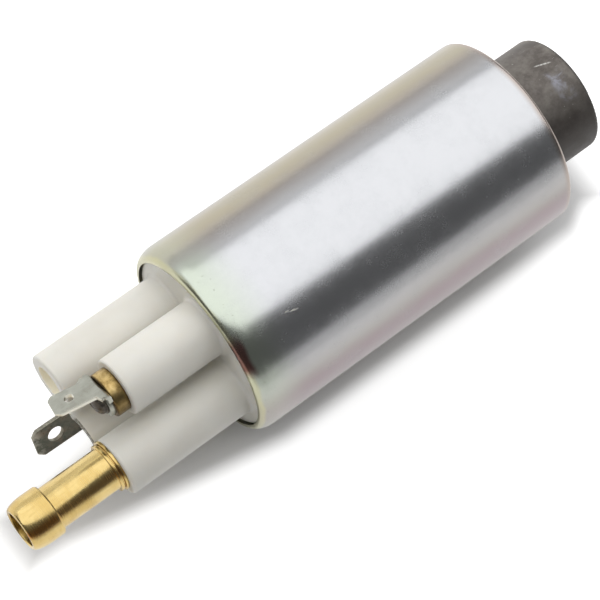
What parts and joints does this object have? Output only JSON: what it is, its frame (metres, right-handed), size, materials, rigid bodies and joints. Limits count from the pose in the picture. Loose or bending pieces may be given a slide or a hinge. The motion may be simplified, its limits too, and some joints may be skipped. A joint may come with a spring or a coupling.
{
  "type": "electric fuel pump",
  "caption": "Round in-tank electric fuel pump with a rolled steel shell, moulded outlet cap with towers, brass hose barb, blade terminals and a cast inlet neck",
  "frame": {"origin": "on the pump's axis, halfway along the steel shell", "axes": "+X along the axis towards the inlet neck, +Z towards the positive terminal's tower, -Y towards the hose barb"},
  "size_m": [0.1291, 0.038, 0.038],
  "materials": {
    "shell_steel": "bright zinc plate with a faint yellow and violet passivation tint and fine scratches",
    "acetal": "moulded white acetal, slightly glossy",
    "seal_rubber": "fuel-proof black rubber",
    "barb_brass": "turned brass",
    "tin_plate": "tinned brass strip",
    "dark_rivet": "browned steel rivet head",
    "dark_plate": "dull dark plating",
    "carbon": "pressed carbon",
    "spring_steel": "drawn spring steel",
    "copper": "copper",
    "ground_steel": "ground steel",
    "bearing_bronze": "sintered bronze",
    "ferrite": "pressed ferrite",
    "core_iron": "stacked electrical steel",
    "insulator": "moulded insulation",
    "phenolic": "moulded phenolic",
    "sintered_iron": "sintered iron, ground faces",
    "gear_steel": "sintered gear steel",
    "dark_casting": "dark grey die casting, turned neck"
  },
  "bodies": {
    "housing": {"shell": "shell_steel", "outlet_cap": "acetal", "cap_seal": "seal_rubber", "outlet_barb": "barb_brass", "positive_bush": "barb_brass", "positive_terminal": "tin_plate", "positive_rivet": "dark_rivet", "negative_bush": "barb_brass", "negative_terminal": "dark_plate", "negative_rivet": "dark_rivet", "positive_brush_spring": "spring_steel", "positive_shunt": "copper", "negative_brush_spring": "spring_steel", "negative_shunt": "copper", "check_spring": "spring_steel", "check_guide": "acetal", "relief_spring": "spring_steel", "relief_retainer": "barb_brass", "upper_bearing": "bearing_bronze", "bearing_retainer": "ground_steel", "magnet_left": "ferrite", "magnet_right": "ferrite", "magnet_clips": "spring_steel", "discharge_plate": "sintered_iron", "lower_bearing": "bearing_bronze", "gear_ring": "sintered_iron", "pump_screws": "ground_steel", "inlet_body": "dark_casting", "body_seal": "seal_rubber"},
    "armature": {"armature_shaft": "ground_steel", "core_stack": "core_iron", "windings": "copper", "core_insulators": "insulator", "commutator_hub": "phenolic", "commutator_segments": "copper", "thrust_washers": "phenolic", "inner_gear": "gear_steel"},
    "outer_gear": {"outer_gear": "gear_steel"},
    "positive_brush": {"positive_brush": "carbon"},
    "negative_brush": {"negative_brush": "carbon"},
    "check_valve": {"check_poppet": "barb_brass", "check_seal": "seal_rubber"},
    "relief_valve": {"relief_ball": "ground_steel"}
  },
  "joints": [
    {"name": "armature_spin", "type": "hinge", "parent": "housing", "child": "armature", "pos_m": [0, 0, 0], "axis": [1, 0, 0], "continuous": true},
    {"name": "outer_gear_spin", "type": "hinge", "parent": "housing", "child": "outer_gear", "pos_m": [0.02375, 0, 0.0011], "axis": [1, 0, 0], "continuous": true},
    {"name": "positive_brush_slide", "type": "slide", "parent": "housing", "child": "positive_brush", "axis": [-1, 0, 0], "range_m": [0, 0.0015], "stiffness_N_per_m": 120, "springref_m": -0.01, "deforming": ["positive_brush_spring", "positive_shunt"]},
    {"name": "negative_brush_slide", "type": "slide", "parent": "housing", "child": "negative_brush", "axis": [-1, 0, 0], "range_m": [0, 0.0015], "stiffness_N_per_m": 120, "springref_m": -0.01, "deforming": ["negative_brush_spring", "negative_shunt"]},
    {"name": "check_valve_slide", "type": "slide", "parent": "housing", "child": "check_valve", "axis": [-1, 0, 0], "range_m": [0, 0.002], "stiffness_N_per_m": 60, "springref_m": -0.004, "deforming": ["check_spring"]},
    {"name": "relief_valve_slide", "type": "slide", "parent": "housing", "child": "relief_valve", "axis": [-1, 0, 0], "range_m": [0, 0.002], "stiffness_N_per_m": 400, "springref_m": -0.008, "deforming": ["relief_spring"]}
  ],
  "couplings": [
    {"joint": "outer_gear_spin", "follows": "armature_spin", "ratio": 0.85714}
  ]
}
